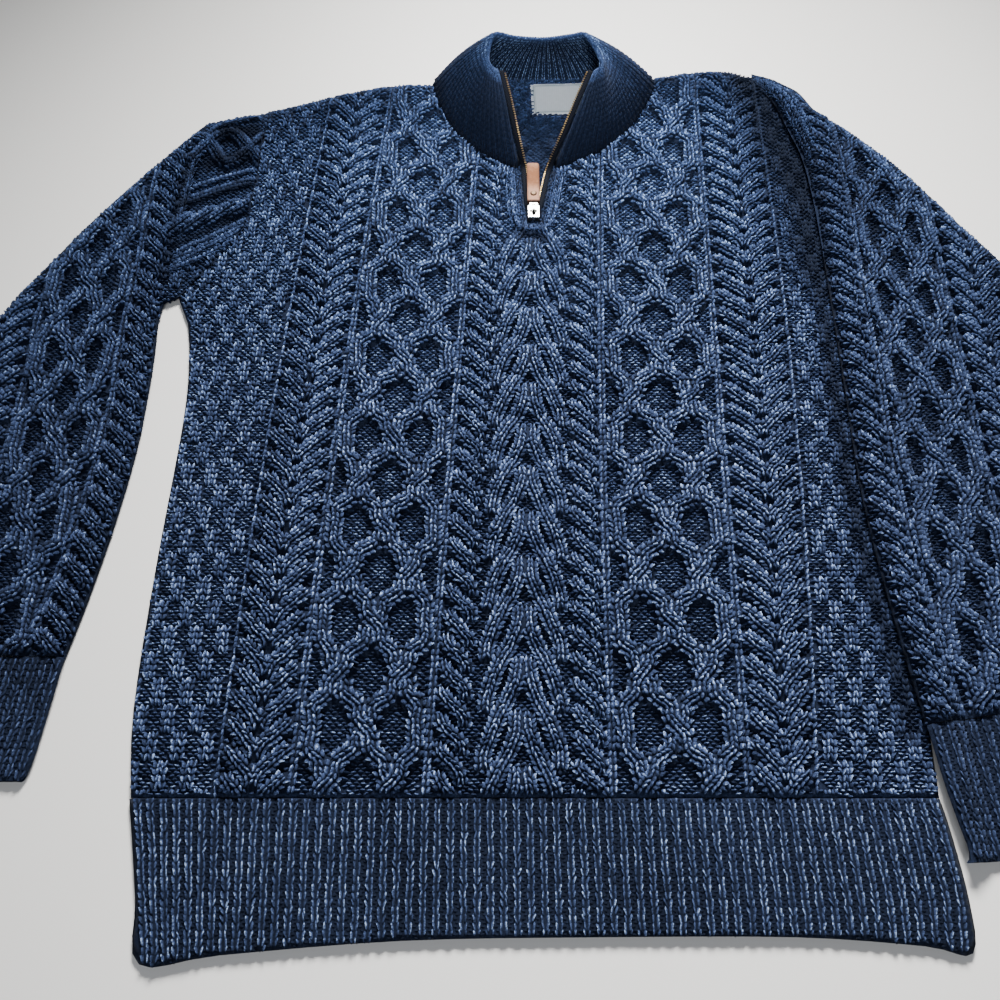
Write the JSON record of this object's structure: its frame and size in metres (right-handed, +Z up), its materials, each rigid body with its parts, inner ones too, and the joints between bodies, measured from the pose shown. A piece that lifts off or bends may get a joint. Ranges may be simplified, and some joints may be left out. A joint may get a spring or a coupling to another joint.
{
  "type": "sweater",
  "caption": "Cable knit sweater laid flat, with ribbed hem and cuffs, an open stand collar and a short front zip with a leather pull.",
  "frame": {"origin": "on the surface that the garment lies on, at the middle of its overall box", "axes": "+Z up from the surface, +Y from the hem to the neck, +X to the right as seen from above"},
  "size_m": [0.8883, 0.7618, 0.0695],
  "materials": {
    "knit_wool": "heathered wool knit, matt",
    "rib_wool": "heathered wool rib, matt",
    "zip_tape": "woven tape, matt",
    "slider_steel": "bright nickel",
    "tab_leather": "tan, satin",
    "label_cloth": "woven satin label, plain"
  },
  "bodies": {
    "garment": {"front_panel": "knit_wool", "back_panel": "knit_wool", "sleeve_left": "knit_wool", "sleeve_right": "knit_wool", "hem_rib_front": "rib_wool", "hem_rib_back": "rib_wool", "cuff_left": "rib_wool", "cuff_right": "rib_wool", "collar": "rib_wool", "zip_tape_left": "zip_tape", "zip_tape_right": "zip_tape", "zip_slider": "slider_steel", "neck_label": "label_cloth"},
    "pull": {"pull_link": "slider_steel", "pull_tab": "tab_leather", "pull_rivet": "slider_steel"}
  },
  "joints": [
    {"name": "pull_swing", "type": "hinge", "parent": "garment", "child": "pull", "pos_m": [0.009, 0.208, 0.0096], "axis": [1, 0, 0], "range_deg": [0, 150]}
  ]
}
